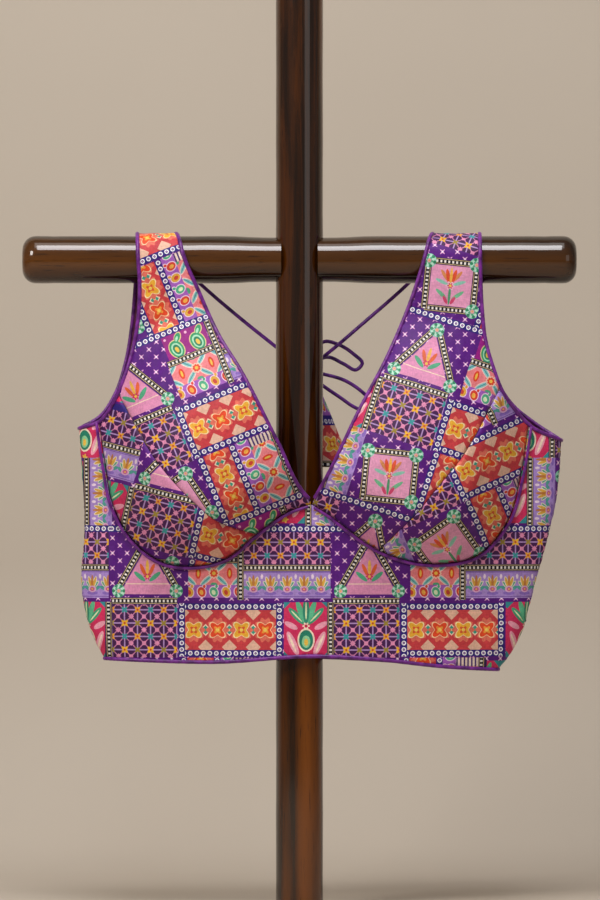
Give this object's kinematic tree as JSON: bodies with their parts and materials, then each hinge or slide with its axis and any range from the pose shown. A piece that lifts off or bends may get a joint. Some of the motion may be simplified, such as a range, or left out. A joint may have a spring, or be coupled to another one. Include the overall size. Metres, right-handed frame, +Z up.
{
  "type": "choli blouse hung on a wooden cross rod",
  "caption": "Sleeveless choli blouse in patchwork print with moulded cups, satin piping and a back tie, hung by its straps on a varnished wooden cross.",
  "frame": {"origin": "middle of the lower end of the cross's post, where whatever holds the post takes it", "axes": "+Z up along the post, +X to the viewer's right along the arms, the front of the blouse towards -Y"},
  "size_m": [0.5008, 0.1261, 0.83],
  "materials": {
    "printed_cloth": "printed silk blend, patchwork design in violet, coral, pink and magenta",
    "satin_piping": "purple satin, rolled",
    "satin_cord": "purple satin cord",
    "varnished_wood": "dark brown gloss varnish"
  },
  "bodies": {
    "root": {"front_band": "printed_cloth", "cup_upper_left": "printed_cloth", "cup_upper_right": "printed_cloth", "cup_lower_left": "printed_cloth", "cup_lower_right": "printed_cloth", "back_left": "printed_cloth", "back_right": "printed_cloth", "latkan": "printed_cloth", "underbust_piping_left": "satin_piping", "underbust_piping_right": "satin_piping", "armhole_binding_left": "satin_piping", "armhole_binding_right": "satin_piping", "neck_binding_left": "satin_piping", "neck_binding_right": "satin_piping", "hem_binding": "satin_piping", "dori_tie_left": "satin_cord", "dori_tie_right": "satin_cord", "dori_loop_upper": "satin_cord", "dori_loop_lower": "satin_cord", "dori_tail_left": "satin_cord", "dori_tail_right": "satin_cord", "dori_knot": "satin_cord", "post": "varnished_wood", "arm_left": "varnished_wood", "arm_right": "varnished_wood"}
  },
  "joints": []
}
